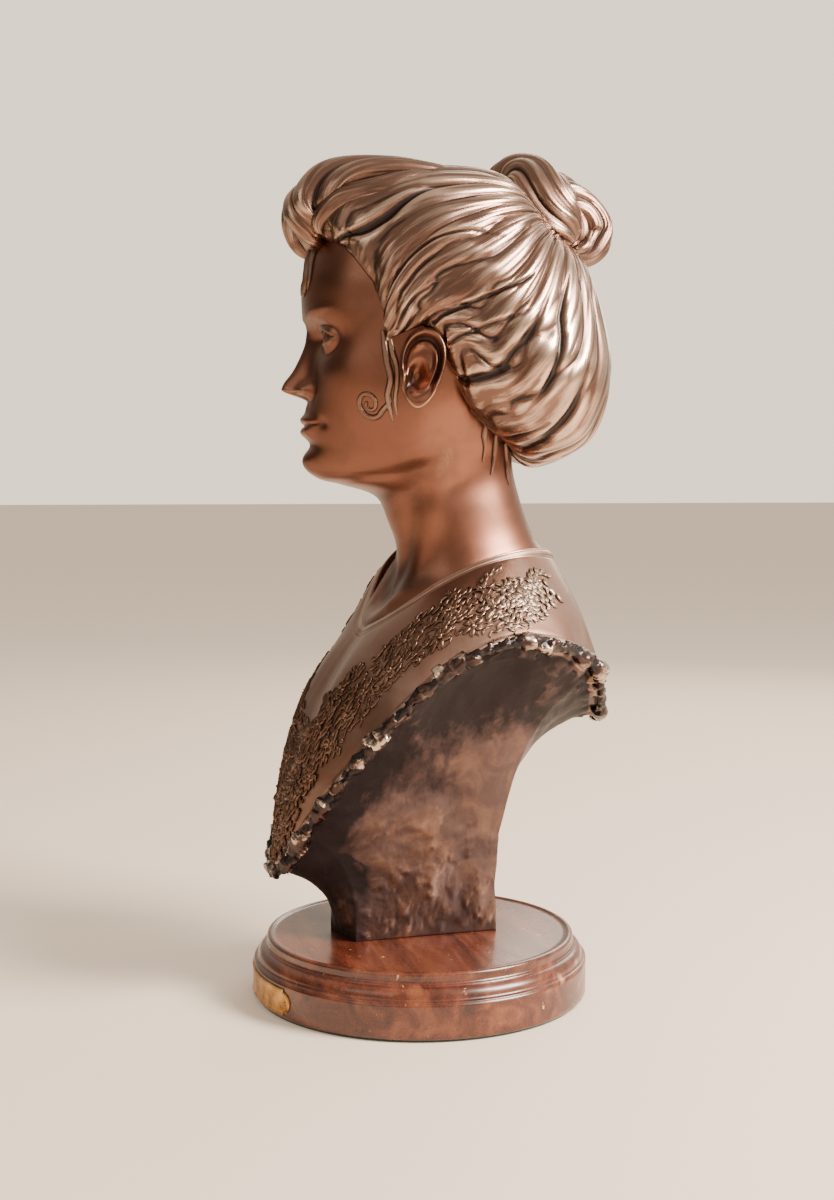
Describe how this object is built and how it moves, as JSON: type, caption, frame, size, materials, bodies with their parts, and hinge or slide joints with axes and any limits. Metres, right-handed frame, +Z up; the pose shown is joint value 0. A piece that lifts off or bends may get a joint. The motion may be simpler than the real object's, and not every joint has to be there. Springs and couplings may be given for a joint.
{
  "type": "portrait bust",
  "caption": "Hollow bronze-finish bust of a woman with swept-up hair and a lace-trimmed blouse, on a turned round wooden base with a blank brass nameplate.",
  "frame": {"origin": "centre of the round underside of the felt, where the base stands on a table", "axes": "+Z up, the bust's chest faces -Y, and its left shoulder is on the +X side"},
  "size_m": [0.207, 0.2286, 0.5217],
  "materials": {
    "torso_bronze": "chemically patinated bronze casting, waxed satin on the blouse, rough and darker on the cut faces",
    "skin_bronze": "chemically patinated bronze casting, burnished and waxed to a warm copper satin",
    "hair_bronze": "chemically patinated bronze casting, dark in the grooves and rubbed bright on the ridges",
    "brass_pins": "drawn brass rod, cut to length",
    "anchor_steel": "hot-rolled steel flat bar, mill scale",
    "zinc_steel": "bright zinc-plated steel",
    "mahogany": "turned mahogany, red-brown stain under semi-gloss lacquer with small scuffs",
    "felt": "dark green wool felt, glued on",
    "plate_brass": "lacquered satin brass sheet, left blank"
  },
  "bodies": {
    "root": {"torso_casting": "torso_bronze", "head_casting": "skin_bronze", "hair_casting": "hair_bronze", "topknot_casting": "hair_bronze", "neck_pins": "brass_pins", "hair_pins": "brass_pins", "anchor_plate": "anchor_steel", "mounting_bolts": "zinc_steel", "lock_washers": "zinc_steel", "flat_washers": "zinc_steel", "wood_base": "mahogany", "base_felt": "felt", "nameplate": "plate_brass", "nameplate_pins": "plate_brass"}
  },
  "joints": []
}
